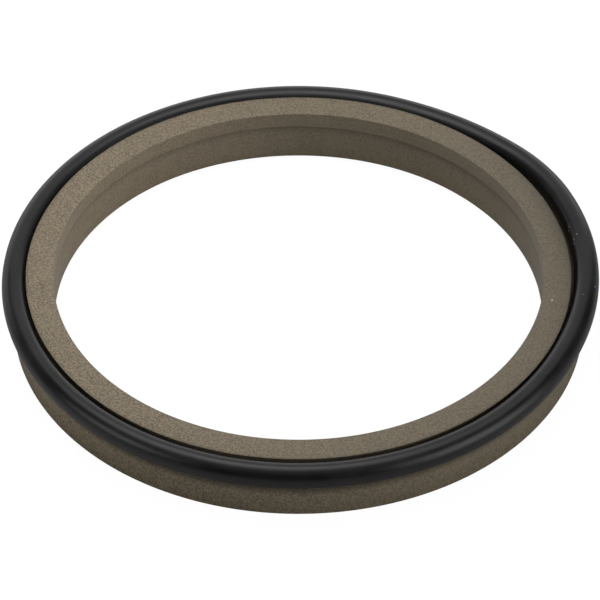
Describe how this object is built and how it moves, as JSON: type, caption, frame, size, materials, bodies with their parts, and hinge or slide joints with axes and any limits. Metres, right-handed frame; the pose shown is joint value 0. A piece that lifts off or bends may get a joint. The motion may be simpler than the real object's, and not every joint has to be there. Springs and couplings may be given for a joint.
{
  "type": "wiper seal",
  "caption": "Rod wiper: a turned bronze-filled PTFE ring with a wiping lip and relieved bore, and a rubber O-ring in the hollow round its outside.",
  "frame": {"origin": "on the bore's axis, in the plane of the ring's lower face, on which it lies", "axes": "+Z along the bore's axis, out of the wiping side, towards the outside of the cylinder; +X and +Y are free, as the part is round"},
  "size_m": [0.0606, 0.0606, 0.0063],
  "materials": {
    "bronze_ptfe": "turned bronze-filled PTFE, matt with fine metal flecks",
    "black_rubber": "smooth moulded nitrile rubber, slightly dusty"
  },
  "bodies": {
    "root": {"wiper_ring": "bronze_ptfe", "o_ring": "black_rubber"}
  },
  "joints": []
}
